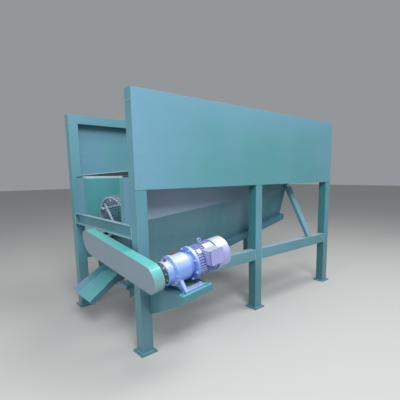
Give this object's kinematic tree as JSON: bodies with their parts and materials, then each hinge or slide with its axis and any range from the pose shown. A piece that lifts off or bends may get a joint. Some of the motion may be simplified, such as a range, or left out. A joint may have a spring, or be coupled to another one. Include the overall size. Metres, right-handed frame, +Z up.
{
  "type": "trommel screen",
  "caption": "Stationary trommel screen: tilted rotating screen drum in a welded post frame with side sheets, hopper plates, discharge chute, chain guard and gearmotor.",
  "frame": {"origin": "middle of the underside of the front right foot, beside the drive", "axes": "+X from the drive end to the feed end, +Y from the drive side to the far side, +Z up"},
  "size_m": [3.1268, 2.032, 2.145],
  "materials": {
    "cast_dark": "dark painted casting",
    "drum_paint": "worn dark blue-green paint",
    "frame_paint": "semi-gloss blue-green paint",
    "guard_paint": "gloss turquoise paint",
    "motor_paint": "gloss violet-blue paint",
    "reducer_paint": "gloss blue paint",
    "screen_steel": "worn steel screen plate",
    "shaft_steel": "turned steel",
    "sheet_paint": "semi-gloss blue-green paint on sheet"
  },
  "bodies": {
    "frame": {"base_plates": "frame_paint", "brace_left": "frame_paint", "brace_right": "frame_paint", "chain_guard": "guard_paint", "chute_bar": "sheet_paint", "discharge_chute": "sheet_paint", "drive_platform": "sheet_paint", "fan_cover": "motor_paint", "front_beam": "frame_paint", "front_bearing": "cast_dark", "front_bearing_seat": "frame_paint", "guard_brackets": "guard_paint", "guard_collar": "cast_dark", "hopper_edge_left": "sheet_paint", "hopper_edge_right": "sheet_paint", "hopper_plate_left": "sheet_paint", "hopper_plate_right": "sheet_paint", "hopper_skirt_left": "sheet_paint", "hopper_skirt_right": "sheet_paint", "lifting_eye": "motor_paint", "low_rail_left": "frame_paint", "low_rail_right": "frame_paint", "motor_body": "motor_paint", "motor_flange": "reducer_paint", "platform_gusset": "sheet_paint", "post_left_front": "frame_paint", "post_left_middle": "frame_paint", "post_left_rear": "frame_paint", "post_right_front": "frame_paint", "post_right_middle": "frame_paint", "post_right_rear": "frame_paint", "rear_beam": "frame_paint", "rear_bearing": "cast_dark", "rear_bearing_seat": "frame_paint", "reducer_foot": "reducer_paint", "reducer_housing": "reducer_paint", "side_panel_left": "sheet_paint", "side_panel_right": "sheet_paint", "skirt_hangers": "sheet_paint", "terminal_box": "motor_paint", "top_rail_left": "frame_paint", "top_rail_right": "frame_paint"},
    "drum": {"drum_bars": "drum_paint", "drum_shaft": "shaft_steel", "feed_shell": "drum_paint", "ring_front": "drum_paint", "ring_joint": "drum_paint", "ring_middle": "drum_paint", "ring_rear": "drum_paint", "screen_panels": "screen_steel", "spider_front": "drum_paint", "spider_middle": "drum_paint", "spider_rear": "drum_paint"},
    "output_shaft": {"output_shaft": "shaft_steel"}
  },
  "joints": [
    {"name": "drum_spin", "type": "hinge", "parent": "frame", "child": "drum", "pos_m": [-0.05, 0.71, 0.885], "axis": [0.9903, 0, 0.1392], "continuous": true},
    {"name": "output_spin", "type": "hinge", "parent": "frame", "child": "output_shaft", "pos_m": [-0.05, -0.348, 0.765], "axis": [0.9903, 0, 0.1392], "continuous": true}
  ],
  "couplings": [
    {"joint": "output_spin", "follows": "drum_spin", "ratio": 1.19}
  ]
}
